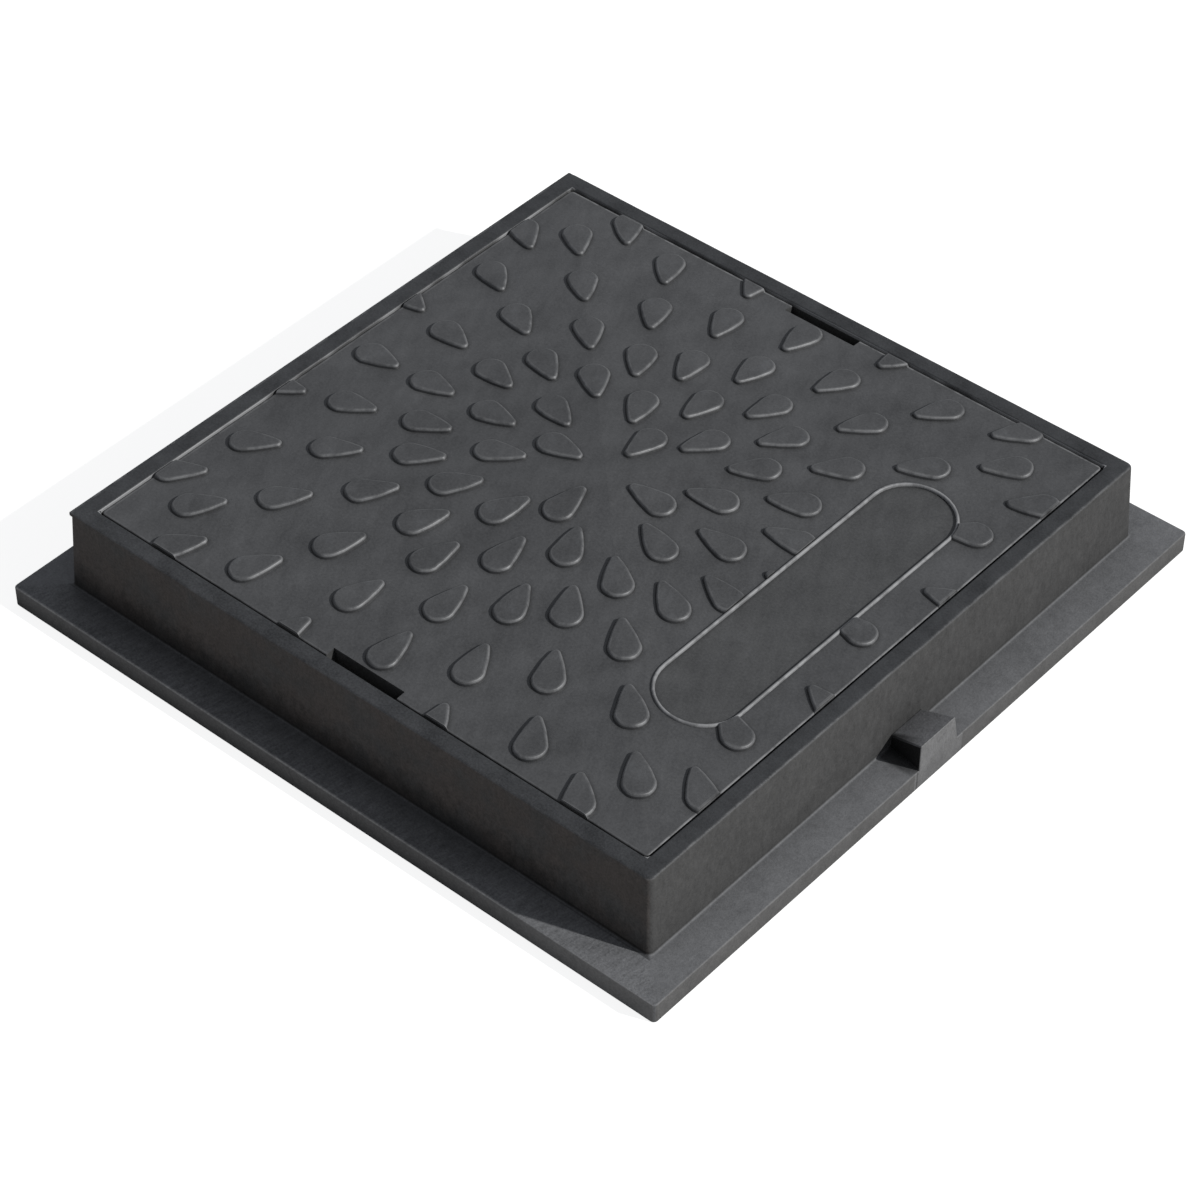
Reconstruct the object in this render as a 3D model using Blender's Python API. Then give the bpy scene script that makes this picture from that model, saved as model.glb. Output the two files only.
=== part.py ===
"""Square manhole cover: a moulded frame with a flange, and a studded lid that lifts off it.

Metres, +Z up. The origin is the centre of the frame's underside, so the frame stands on Z = 0.
+X is the side that carries the lug, and the lifting notches are in the middle of the -Y and
+Y sides of the lid.
"""

import math

import bmesh
import bpy
from mathutils import Matrix, Vector

# ---------------------------------------------------------------- frame: driving dimensions
FLANGE_SIDE = 0.640
FLANGE_THICKNESS = 0.018
FLANGE_CORNER_RADIUS = 0.003
FRAME_HEIGHT = 0.090
UPSTAND_TOP_SIDE = 0.570
UPSTAND_LEAN = 0.0035              # each outer wall leans in by this from flange to rim
UPSTAND_CORNER_RADIUS = 0.004
RIM_EDGE_CHAMFER = 0.0012
RIM_WIDTH = 0.015                  # flat rim between the outer edge and the lid pocket
POCKET_DEPTH = 0.050               # from the rim down to the seat
POCKET_DRAFT = 0.002               # lean of each pocket wall over its depth
POCKET_CORNER_RADIUS = 0.005
SEAT_WIDTH = 0.020                 # ledge that carries the lid
SHAFT_DRAFT = 0.002                # the clear opening widens by this much a side to the foot
SHAFT_CORNER_RADIUS = 0.012

# ---------------------------------------------------------------- lug on the +X side
LUG_OUTER_Y = (-0.024, 0.017)      # top of the outer end, along the side
LUG_FOOT_Y = (-0.024, 0.026)       # foot of the outer end
LUG_WALL_Y = (-0.015, 0.020)       # top of the end at the wall
LUG_WALL_FOOT_Y = (-0.020, 0.024)  # foot of the end at the wall
LUG_OUTER_HEIGHT = 0.043
LUG_WALL_HEIGHT = 0.0265
LUG_SETBACK = 0.0003               # outer face behind the edge of the flange
LUG_ROOT = 0.006                   # how far the lug runs into the wall

# ---------------------------------------------------------------- lid: driving dimensions
LID_GAP = 0.002                    # clearance to the pocket wall, each side
LID_SEAT_GAP = 0.0003              # under the skirt
LID_EDGE_DROP = 0.002              # edge of the lid's face below the rim
LID_CROWN = 0.0193                 # rise of the four-sided face from edge to centre
LID_CORNER_RADIUS = 0.003
SKIRT_WIDTH = 0.018                # solid band round the underside
PLATE_THICKNESS = 0.020
RIB_THICKNESS = 0.008
CELLS_PER_SIDE = 8
CELL_DRAFT = 0.0015

# ---------------------------------------------------------------- lifting notches in the lid
NOTCH_LENGTH = 0.071
NOTCH_REACH = 0.0085               # into the lid from its edge
NOTCH_DEPTH = 0.036
NOTCH_END_SLOPE = 0.003            # the ends splay by this much a side at the face

# ---------------------------------------------------------------- tread studs
STUD_HEIGHT = 0.003
STUD_LENGTH = 0.0426
STUD_HEEL_RADIUS = 0.013           # round outer end
STUD_TIP_RADIUS = 0.0035           # small inner end
STUD_EDGE_INSET = 0.0003           # where the lid's edge cuts a stud
HEEL_STEPS = 7
TIP_STEPS = 2
# Each ring: the distance from the centre to the middle of its studs, as a share of half the
# lid's side, and the studs' angles within one quarter turn.
STUD_RINGS = (
    (0.171, (0.0,)),
    (0.320, (22.5, 67.5)),
    (0.427, (0.0, 45.0)),
    (0.568, (15.0, 75.0)),
    (0.544, (30.0, 60.0)),
    (0.660, (0.0,)),
    (0.671, (45.0,)),
    (0.813, (15.0, 75.0)),
    (0.787, (30.0, 60.0)),
    (0.880, (0.0,)),
    (0.910, (45.0,)),
    (1.044, (15.0, 75.0)),
    (1.018, (30.0, 60.0)),
    (1.145, (45.0,)),
    (1.209, (37.5, 52.5)),
)

# ---------------------------------------------------------------- blank badge panel
PANEL_WIDTH = 0.0725
PANEL_SIDE_MARGIN = 0.036          # from its long side to the lid's +X edge
PANEL_END_MARGIN = 0.109           # from each round end to the lid's edge
PANEL_SINK = 0.0008
BEAD_WIDTH = 0.0032
BEAD_HEIGHT = 0.0012
PANEL_ARC_STEPS = 12

# ---------------------------------------------------------------- sizes that follow
CUT_PAST = 0.010                   # how far a cutter runs past the face that it opens
BURY = 0.004                       # how far a piece that is joined runs into its base
LID_FACE_Z = FRAME_HEIGHT - LID_EDGE_DROP
SEAT_Z = FRAME_HEIGHT - POCKET_DEPTH
LID_FOOT_Z = SEAT_Z + LID_SEAT_GAP
POCKET_TOP_SIDE = UPSTAND_TOP_SIDE - 2 * RIM_WIDTH
POCKET_FOOT_SIDE = POCKET_TOP_SIDE - 2 * POCKET_DRAFT
UPSTAND_FOOT_SIDE = UPSTAND_TOP_SIDE + 2 * UPSTAND_LEAN
SHAFT_TOP_SIDE = POCKET_FOOT_SIDE - 2 * SEAT_WIDTH
SHAFT_FOOT_SIDE = SHAFT_TOP_SIDE + 2 * SHAFT_DRAFT


def pocket_side_at(z):
    """Side of the lid pocket at height z."""
    share = (z - SEAT_Z) / POCKET_DEPTH
    return POCKET_FOOT_SIDE + (POCKET_TOP_SIDE - POCKET_FOOT_SIDE) * share


def upstand_side_at(z):
    """Outer side of the frame's upstand at height z."""
    share = (z - FLANGE_THICKNESS) / (FRAME_HEIGHT - FLANGE_THICKNESS)
    return UPSTAND_FOOT_SIDE + (UPSTAND_TOP_SIDE - UPSTAND_FOOT_SIDE) * share


LID_TOP_SIDE = pocket_side_at(LID_FACE_Z) - 2 * LID_GAP
LID_FOOT_SIDE = pocket_side_at(LID_FOOT_Z) - 2 * LID_GAP
LID_HALF = LID_TOP_SIDE / 2
FACE_SLOPE = LID_CROWN / LID_HALF
CELLS_HALF = LID_FOOT_SIDE / 2 - SKIRT_WIDTH
PANEL_CENTRE_X = LID_HALF - PANEL_SIDE_MARGIN - PANEL_WIDTH / 2
PANEL_LENGTH = 2 * (LID_HALF - PANEL_END_MARGIN)


def face_z(x, y):
    """Height of the lid's four-sided face over the point x, y."""
    return LID_FACE_Z + LID_CROWN - FACE_SLOPE * max(abs(x), abs(y))


# ---------------------------------------------------------------- scene and materials
def clear_scene():
    for item in list(bpy.data.objects):
        bpy.data.objects.remove(item, do_unlink=True)


def make_collection(name):
    collection = bpy.data.collections.new(name)
    bpy.context.scene.collection.children.link(collection)
    return collection


def make_material(name, colour, roughness, metallic):
    material = bpy.data.materials.new(name)
    material.use_nodes = True
    shader = material.node_tree.nodes["Principled BSDF"]
    shader.inputs["Base Color"].default_value = (*colour, 1.0)
    shader.inputs["Roughness"].default_value = roughness
    shader.inputs["Metallic"].default_value = metallic
    return material


# ---------------------------------------------------------------- shapes
def object_from_bmesh(bm, name, collection):
    bmesh.ops.recalc_face_normals(bm, faces=bm.faces)
    mesh = bpy.data.meshes.new(name)
    bm.to_mesh(mesh)
    bm.free()
    obj = bpy.data.objects.new(name, mesh)
    collection.objects.link(obj)
    return obj


def add_frustum(bm, low_side, high_side, low_z, high_z, centre=(0.0, 0.0)):
    """Add a square frustum, from low_side at low_z to high_side at high_z; return its vertices."""
    turn = Matrix.Rotation(math.radians(45), 4, "Z")
    place = Matrix.Translation((centre[0], centre[1], (low_z + high_z) / 2))
    made = bmesh.ops.create_cone(
        bm, cap_ends=True, cap_tris=False, segments=4,
        radius1=low_side / math.sqrt(2), radius2=high_side / math.sqrt(2),
        depth=high_z - low_z, matrix=place @ turn)
    return made["verts"]


def round_upright_edges(bm, radius, steps=3):
    """Round the edges that run up the corners of every frustum in bm."""
    upright = [edge for edge in bm.edges
               if abs(edge.verts[0].co.z - edge.verts[1].co.z) > 0.5 * edge.calc_length()]
    bmesh.ops.bevel(bm, geom=upright, offset=radius, offset_type="OFFSET", segments=steps,
                    profile=0.5, affect="EDGES")


def make_frustum(name, collection, low_side, high_side, low_z, high_z, radius):
    bm = bmesh.new()
    add_frustum(bm, low_side, high_side, low_z, high_z)
    round_upright_edges(bm, radius)
    return object_from_bmesh(bm, name, collection)


def make_crowned_block(name, collection, low_side, high_side, low_z, high_z, radius):
    """A frustum whose top face rises to a low four-sided point at the centre."""
    bm = bmesh.new()
    add_frustum(bm, low_side, high_side, low_z, high_z)
    round_upright_edges(bm, radius)
    top = max(bm.faces, key=lambda face: face.calc_center_median().z)
    poked = bmesh.ops.poke(bm, faces=[top])
    poked["verts"][0].co = Vector((0.0, 0.0, high_z + LID_CROWN))
    return object_from_bmesh(bm, name, collection)


def make_flat_prism(name, collection, outlines, low_z, high_z):
    """Prisms from closed outlines of (x, y) points, all between the same two heights."""
    curve = bpy.data.curves.new(name, "CURVE")
    curve.dimensions = "2D"
    curve.fill_mode = "BOTH"
    curve.extrude = (high_z - low_z) / 2
    for points in outlines:
        spline = curve.splines.new("POLY")
        spline.points.add(len(points) - 1)
        for point, (x, y) in zip(spline.points, points):
            point.co = (x, y, 0.0, 1.0)
        spline.use_cyclic_u = True
    outline = bpy.data.objects.new(name + "_outline", curve)
    outline.location.z = (high_z + low_z) / 2
    collection.objects.link(outline)
    bpy.context.view_layer.update()
    evaluated = outline.evaluated_get(bpy.context.evaluated_depsgraph_get())
    mesh = bpy.data.meshes.new_from_object(evaluated)
    mesh.transform(outline.matrix_world)
    bpy.data.objects.remove(outline, do_unlink=True)
    bm = bmesh.new()
    bm.from_mesh(mesh)
    bpy.data.meshes.remove(mesh)
    bmesh.ops.remove_doubles(bm, verts=bm.verts, dist=1e-6)
    return object_from_bmesh(bm, name, collection)


def move_points(obj, rule):
    """Move every vertex of obj to the place that rule gives for it."""
    for vertex in obj.data.vertices:
        vertex.co = rule(vertex.co)


def shaded(obj, material):
    obj.data.materials.clear()
    obj.data.materials.append(material)
    obj.data.shade_smooth()
    obj.data.set_sharp_from_angle(angle=math.radians(25))


def combine(base, other, operation):
    """Join other to base, cut it away, or keep what they share."""
    step = base.modifiers.new(operation.lower() + "_" + other.name, "BOOLEAN")
    step.operation = operation
    step.solver = "EXACT"
    step.object = other
    other.hide_render = True
    other.display_type = "WIRE"


# ---------------------------------------------------------------- frame
def make_lug(tools):
    """Solid lug that fills the corner between the +X wall and the edge of the flange."""
    outer_x = FLANGE_SIDE / 2 - LUG_SETBACK
    bm = bmesh.new()
    bmesh.ops.create_cube(bm, size=1.0)
    for vertex in bm.verts:
        outer = vertex.co.x > 0
        high = vertex.co.z > 0
        end = 1 if vertex.co.y > 0 else 0
        if outer:
            y = LUG_OUTER_Y[end] if high else LUG_FOOT_Y[end]
            z = LUG_OUTER_HEIGHT if high else FLANGE_THICKNESS - BURY
            x = outer_x
        else:
            y = LUG_WALL_Y[end] if high else LUG_WALL_FOOT_Y[end]
            z = LUG_WALL_HEIGHT if high else FLANGE_THICKNESS - BURY
            x = upstand_side_at(z) / 2 - LUG_ROOT
        vertex.co = (x, y, z)
    return object_from_bmesh(bm, "lug", tools)


def make_frame(parts, tools, material):
    frame = make_frustum("frame", parts, FLANGE_SIDE, FLANGE_SIDE, 0.0, FLANGE_THICKNESS,
                         FLANGE_CORNER_RADIUS)
    root_z = FLANGE_THICKNESS - BURY
    neck_z = FRAME_HEIGHT - RIM_EDGE_CHAMFER
    bm = bmesh.new()
    add_frustum(bm, upstand_side_at(root_z), upstand_side_at(neck_z), root_z, neck_z)
    top = max(bm.faces, key=lambda face: face.calc_center_median().z)
    raised = bmesh.ops.extrude_discrete_faces(bm, faces=[top])["faces"][0]
    shrink = (UPSTAND_TOP_SIDE / 2 - RIM_EDGE_CHAMFER) / (upstand_side_at(neck_z) / 2)
    for vertex in raised.verts:
        vertex.co = (vertex.co.x * shrink, vertex.co.y * shrink, FRAME_HEIGHT)
    bmesh.ops.remove_doubles(bm, verts=bm.verts, dist=1e-6)
    round_upright_edges(bm, UPSTAND_CORNER_RADIUS)
    upstand = object_from_bmesh(bm, "upstand", tools)
    pocket = make_frustum("lid_pocket", tools, POCKET_FOOT_SIDE,
                          pocket_side_at(FRAME_HEIGHT + CUT_PAST), SEAT_Z,
                          FRAME_HEIGHT + CUT_PAST, POCKET_CORNER_RADIUS)
    shaft = make_frustum("clear_opening", tools, SHAFT_FOOT_SIDE, SHAFT_TOP_SIDE, -CUT_PAST,
                         SEAT_Z + CUT_PAST, SHAFT_CORNER_RADIUS)
    combine(frame, upstand, "UNION")
    combine(frame, make_lug(tools), "UNION")
    combine(frame, pocket, "DIFFERENCE")
    combine(frame, shaft, "DIFFERENCE")
    shaded(frame, material)
    return frame


# ---------------------------------------------------------------- lid
def stud_outline():
    """Teardrop seen from above, its small end towards -X, round its own middle."""
    heel_x = STUD_LENGTH / 2 - STUD_HEEL_RADIUS
    tip_x = STUD_TIP_RADIUS - STUD_LENGTH / 2
    side = math.acos((STUD_TIP_RADIUS - STUD_HEEL_RADIUS) / (heel_x - tip_x))
    points = []
    for step in range(HEEL_STEPS + 1):
        angle = -side + 2 * side * step / HEEL_STEPS
        points.append((heel_x + STUD_HEEL_RADIUS * math.cos(angle),
                       STUD_HEEL_RADIUS * math.sin(angle)))
    for step in range(TIP_STEPS + 1):
        angle = side + 2 * (math.pi - side) * step / TIP_STEPS
        points.append((tip_x + STUD_TIP_RADIUS * math.cos(angle),
                       STUD_TIP_RADIUS * math.sin(angle)))
    return points


def stud_outlines():
    """The outline of every stud, its small end towards the centre of the lid."""
    base = stud_outline()
    outlines = []
    for share, angles in STUD_RINGS:
        radius = share * LID_HALF
        for quarter in range(4):
            for angle in angles:
                turn = math.radians(angle + 90 * quarter)
                outlines.append([
                    ((radius + x) * math.cos(turn) - y * math.sin(turn),
                     (radius + x) * math.sin(turn) + y * math.cos(turn)) for x, y in base])
    return outlines


def panel_outline(inset):
    """Outline of the badge panel, a bar with round ends, drawn in by inset."""
    radius = PANEL_WIDTH / 2 - inset
    reach = PANEL_LENGTH / 2 - PANEL_WIDTH / 2
    points = []
    for side in (1, -1):
        for step in range(PANEL_ARC_STEPS + 1):
            angle = math.pi * step / PANEL_ARC_STEPS
            points.append((PANEL_CENTRE_X + side * radius * math.cos(angle),
                           side * (reach + radius * math.sin(angle))))
    return points


def panel_slab(name, tools, inset, low, high):
    """A slab in the panel's outline whose faces lie low and high above the lid's face."""
    slab = make_flat_prism(name, tools, [panel_outline(inset)], low, high)
    face_at_centre = LID_FACE_Z + LID_CROWN
    move_points(slab, lambda co: (co.x, co.y, co.z + face_at_centre - FACE_SLOPE * co.x))
    return slab


def make_studs(tools):
    """Every stud as a column, cut off level with the face raised by the height of a stud."""
    studs = make_flat_prism("tread_studs", tools, stud_outlines(), LID_FACE_Z - BURY,
                            LID_FACE_Z + LID_CROWN + STUD_HEIGHT + CUT_PAST)
    side = LID_TOP_SIDE - 2 * STUD_EDGE_INSET
    raised_face = make_crowned_block("stud_tops", tools, side, side, LID_FACE_Z - 2 * BURY,
                                     LID_FACE_Z + STUD_HEIGHT, LID_CORNER_RADIUS)
    combine(studs, raised_face, "INTERSECT")
    combine(studs, panel_slab("stud_limit", tools, 0.0, -2 * BURY, CUT_PAST), "DIFFERENCE")
    return studs


def make_cells(tools):
    """Pockets between the ribs of the underside, each as deep as the crowned face allows."""
    pitch = (2 * CELLS_HALF + RIB_THICKNESS) / CELLS_PER_SIDE
    mouth = pitch - RIB_THICKNESS
    centres = [-CELLS_HALF + mouth / 2 + pitch * index for index in range(CELLS_PER_SIDE)]
    low_z = LID_FOOT_Z - CUT_PAST
    bm = bmesh.new()
    for x in centres:
        for y in centres:
            reach = max(abs(x), abs(y)) + mouth / 2
            high_z = face_z(reach, 0.0) - PLATE_THICKNESS
            lean = 2 * CELL_DRAFT / (high_z - LID_FOOT_Z)
            add_frustum(bm, mouth + lean * CUT_PAST, mouth - 2 * CELL_DRAFT, low_z, high_z,
                        (x, y))
    return object_from_bmesh(bm, "rib_cells", tools)


def make_notch(name, tools, side):
    """A block that opens the lid's edge on one Y side; its ends splay towards the face."""
    bm = bmesh.new()
    bmesh.ops.create_cube(bm, size=1.0)
    for vertex in bm.verts:
        high = vertex.co.z > 0
        outer = vertex.co.y * side > 0
        half = NOTCH_LENGTH / 2 - (0.0 if high else NOTCH_END_SLOPE)
        vertex.co = (math.copysign(half, vertex.co.x),
                     side * (LID_HALF + CUT_PAST if outer else LID_HALF - NOTCH_REACH),
                     LID_FACE_Z + (CUT_PAST if high else -NOTCH_DEPTH))
    return object_from_bmesh(bm, name, tools)


def make_lid(parts, tools, material):
    lid = make_crowned_block("lid", parts, LID_FOOT_SIDE, LID_TOP_SIDE, LID_FOOT_Z, LID_FACE_Z,
                             LID_CORNER_RADIUS)
    combine(lid, make_studs(tools), "UNION")
    combine(lid, panel_slab("panel_bead", tools, 0.0, -BURY, BEAD_HEIGHT), "UNION")
    combine(lid, panel_slab("panel_floor", tools, BEAD_WIDTH, -PANEL_SINK, CUT_PAST),
            "DIFFERENCE")
    for side, word in ((-1, "front"), (1, "back")):
        combine(lid, make_notch("notch_" + word, tools, side), "DIFFERENCE")
    combine(lid, make_cells(tools), "DIFFERENCE")
    shaded(lid, material)
    return lid


def main():
    clear_scene()
    parts = make_collection("manhole_cover")
    tools = make_collection("cutters")
    frame_material = make_material("frame_composite", (0.062, 0.062, 0.060), 0.62, 0.0)
    lid_material = make_material("lid_composite", (0.060, 0.061, 0.063), 0.55, 0.0)
    make_frame(parts, tools, frame_material)
    make_lid(parts, tools, lid_material)


main()
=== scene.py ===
"""Looks of a square manhole cover: a moulded frame, and the studded lid that lifts out of it.

Metres throughout, in the cover's own axes: the origin is the centre of the frame's underside,
+Z is up, +X is the side with the lug, and the lifting notches open the -Y and +Y sides.
"""

import logging
import math
from collections.abc import Callable, Mapping, Sequence
from dataclasses import dataclass, field
from enum import Enum

import bmesh
import bpy
from bmesh.types import BMesh, BMVert
from bpy.types import Material, Node, NodeSocket, Object
from mathutils import Euler, Matrix, Vector, noise

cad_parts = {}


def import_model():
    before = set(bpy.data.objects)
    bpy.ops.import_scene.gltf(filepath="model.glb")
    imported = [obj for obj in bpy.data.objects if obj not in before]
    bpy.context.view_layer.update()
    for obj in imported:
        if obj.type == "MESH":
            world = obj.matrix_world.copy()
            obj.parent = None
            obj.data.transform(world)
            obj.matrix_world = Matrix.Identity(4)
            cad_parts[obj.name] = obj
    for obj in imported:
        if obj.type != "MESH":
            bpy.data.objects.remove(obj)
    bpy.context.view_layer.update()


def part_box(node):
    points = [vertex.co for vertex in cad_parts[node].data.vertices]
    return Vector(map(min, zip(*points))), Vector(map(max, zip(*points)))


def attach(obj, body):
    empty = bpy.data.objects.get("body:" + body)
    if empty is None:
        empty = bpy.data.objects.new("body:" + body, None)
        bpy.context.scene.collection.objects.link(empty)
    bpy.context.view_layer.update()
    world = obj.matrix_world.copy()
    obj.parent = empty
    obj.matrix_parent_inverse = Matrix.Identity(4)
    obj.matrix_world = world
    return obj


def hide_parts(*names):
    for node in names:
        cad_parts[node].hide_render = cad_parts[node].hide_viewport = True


LOG = logging.getLogger("manhole_cover")
Colour = tuple[float, float, float]


class NotchSide(Enum):
    """Side of the lid that a lifting notch opens, as the sign of its Y."""

    FRONT = -1
    BACK = 1


class Cut(Enum):
    """What a Boolean step does with the second solid."""

    AWAY = "DIFFERENCE"
    INSIDE = "INTERSECT"


# --- mesh helpers
@dataclass(frozen=True)
class Turn:
    """A corner of a section that runs round the square cover.

    half is its distance from the centre line, ease how far back from the corner its rounding
    starts, and plan the radius of the square's own corners at that level.
    """

    half: float
    z: float
    ease: float = 0.0
    plan: float = 0.003


def eased(turns: Sequence[Turn], steps: int = 4) -> list[Turn]:
    """Round the corners of a closed section.

    Args:
        turns: The section's corners in order.
        steps: Spans in each rounding.

    Returns:
        The section's points in order, with every rounding spelt out.
    """
    points: list[Turn] = []
    for index, turn in enumerate(turns):
        corner = Vector((turn.half, turn.z))
        if not turn.ease:
            points.append(turn)
            continue
        before = turns[index - 1]
        after = turns[(index + 1) % len(turns)]
        start = corner + (Vector((before.half, before.z)) - corner).normalized() * turn.ease
        end = corner + (Vector((after.half, after.z)) - corner).normalized() * turn.ease
        for step in range(steps + 1):
            share = step / steps
            place = start.lerp(corner, share).lerp(corner.lerp(end, share), share)
            points.append(Turn(place.x, place.y, 0.0, turn.plan))
    return points


def square_loop(half: float, radius: float, arc_steps: int, side_steps: int) -> list[Vector]:
    """Points round a square with rounded corners, anticlockwise from above.

    Args:
        half: Half the square's side.
        radius: Radius of its corners.
        arc_steps: Spans in each corner.
        side_steps: Spans along each straight side.

    Returns:
        The points, at height zero.
    """
    points: list[Vector] = []
    reach = half - radius
    for quarter in range(4):
        turn = Matrix.Rotation(math.pi / 2 * quarter, 2)
        for step in range(arc_steps + 1):
            angle = math.pi / 2 * step / arc_steps
            points.append(turn @ Vector((reach + radius * math.cos(angle),
                                         reach + radius * math.sin(angle))))
        for step in range(1, side_steps):
            points.append(turn @ Vector((reach * (1 - 2 * step / side_steps), half)))
    return [point.to_3d() for point in points]


def loft(bm: BMesh, loops: Sequence[Sequence[Vector]],
         closed: bool = False) -> list[list[BMVert]]:
    """Skin loops of the same number of points.

    Args:
        bm: Mesh that takes the skin.
        loops: The loops in order.
        closed: Whether the last loop joins the first.

    Returns:
        The vertices of each loop.
    """
    rows = [[bm.verts.new(point) for point in loop] for loop in loops]
    pairs = list(zip(rows, rows[1:]))
    if closed:
        pairs.append((rows[-1], rows[0]))
    for low, high in pairs:
        for index in range(len(low)):
            after = (index + 1) % len(low)
            bm.faces.new((low[index], low[after], high[after], high[index]))
    return rows


def lifted(loop: Sequence[Vector], z: float) -> list[Vector]:
    """Points raised by z."""
    return [point + Vector((0.0, 0.0, z)) for point in loop]


def linked(name: str, data: bpy.types.ID) -> Object:
    """Make an object at the origin and put it in the scene.

    Args:
        name: The object's name.
        data: Its mesh, lamp or lens.

    Returns:
        The object.
    """
    made = bpy.data.objects.new(name, data)
    bpy.context.scene.collection.objects.link(made)
    return made


def to_object(bm: BMesh, name: str) -> Object:
    """Turn a closed mesh into an object at the origin, its faces outwards.

    Args:
        bm: The mesh, which is freed.
        name: The object's name.

    Returns:
        The object, linked to the scene.
    """
    bmesh.ops.recalc_face_normals(bm, faces=bm.faces)
    mesh = bpy.data.meshes.new(name)
    bm.to_mesh(mesh)
    bm.free()
    return linked(name, mesh)


def prism(name: str, low: Sequence[Vector], high: Sequence[Vector]) -> Object:
    """Make a helper solid between two loops.

    Args:
        name: The object's name.
        low: Points of the lower loop.
        high: Points of the upper one.

    Returns:
        The solid.
    """
    bm = bmesh.new()
    for row in loft(bm, (low, high)):
        bm.faces.new(row)
    return to_object(bm, name)


def add_block(bm: BMesh, place: Callable[[Vector], Vector], ease: float = 0.0,
              steps: int = 3) -> None:
    """Add a block whose corners are placed by a rule.

    Args:
        bm: Mesh that takes the block.
        place: Gives a corner's place from its signs, a vector of -1 and 1.
        ease: Rounding of its edges.
        steps: Spans in each rounding.
    """
    block = bmesh.new()
    bmesh.ops.create_cube(block, size=2.0)
    for vert in block.verts:
        vert.co = place(vert.co.copy())
    if ease:
        bmesh.ops.bevel(block, geom=block.edges[:], offset=ease, segments=steps, profile=0.5,
                        affect="EDGES")
    bmesh.ops.recalc_face_normals(block, faces=block.faces)
    spare = bpy.data.meshes.new("block")
    block.to_mesh(spare)
    block.free()
    bm.from_mesh(spare)
    bpy.data.meshes.remove(spare)


def discard(*things: Object) -> None:
    """Remove helper objects."""
    for thing in things:
        bpy.data.objects.remove(thing, do_unlink=True)


def settle(obj: Object) -> None:
    """Replace an object's mesh by its evaluated one and remove its modifiers.

    Args:
        obj: The object.
    """
    bpy.context.view_layer.update()
    evaluated = obj.evaluated_get(bpy.context.evaluated_depsgraph_get())
    mesh = bpy.data.meshes.new_from_object(evaluated)
    old = obj.data
    obj.modifiers.clear()
    obj.data = mesh
    mesh.name = obj.name
    bpy.data.meshes.remove(old)


def cut(obj: Object, tool: Object, way: Cut) -> None:
    """Add a Boolean step.

    Args:
        obj: The object to cut.
        tool: The helper solid that cuts it.
        way: What becomes of the part inside the helper.
    """
    step = obj.modifiers.new(tool.name, "BOOLEAN")
    step.operation = way.value
    step.solver = "EXACT"
    step.object = tool


def finish_shading(obj: Object, angle: float = 32.0, broad: float = 2.5e-5,
                   level: float = 0.6) -> None:
    """Shade roundings smoothly and keep broad faces flat.

    Args:
        obj: The object.
        angle: Edges sharper than this, in degrees, stay sharp.
        broad: Two faces larger than this, in square metres, keep a sharp edge between them.
        level: Unless they meet at less than this, in degrees.
    """
    bm = bmesh.new()
    bm.from_mesh(obj.data)
    for face in bm.faces:
        face.smooth = True
    for edge in bm.edges:
        if len(edge.link_faces) != 2:
            continue
        bend = math.degrees(edge.calc_face_angle(0.0))
        smaller = min(face.calc_area() for face in edge.link_faces)
        edge.smooth = not (bend > angle or (bend > level and smaller > broad))
    bm.to_mesh(obj.data)
    bm.free()
    step = obj.modifiers.new("face_weights", "WEIGHTED_NORMAL")
    step.keep_sharp = True
    step.weight = 100
    settle(obj)


# --- node helpers
def operator(operation: str, swapped: bool = False) -> Callable[..., "Wire"]:
    """Make a method that adds a Math node on a wire and the other values.

    Args:
        operation: The node's operation.
        swapped: Whether the other value comes first.

    Returns:
        The method.
    """
    def method(self: "Wire", *others: "float | Wire") -> "Wire":
        """Add the node."""
        return self.tree.math(operation, *((*others, self) if swapped else (self, *others)))

    return method


class Wire:
    """A node's output that takes part in Python expressions on numbers."""

    __add__ = operator("ADD")
    __radd__ = operator("ADD", swapped=True)
    __sub__ = operator("SUBTRACT")
    __rsub__ = operator("SUBTRACT", swapped=True)
    __mul__ = operator("MULTIPLY")
    __rmul__ = operator("MULTIPLY", swapped=True)
    __abs__ = operator("ABSOLUTE")
    most = operator("MAXIMUM")
    least = operator("MINIMUM")

    def __init__(self, tree: "NodeTree", socket: NodeSocket) -> None:
        """Keep the tree and the socket."""
        self.tree = tree
        self.socket = socket

    def sway(self, share: "float | Wire") -> "Wire":
        """A noise round a half, as a change of tone either way by up to half of share."""
        return (self - 0.5) * share


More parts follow.
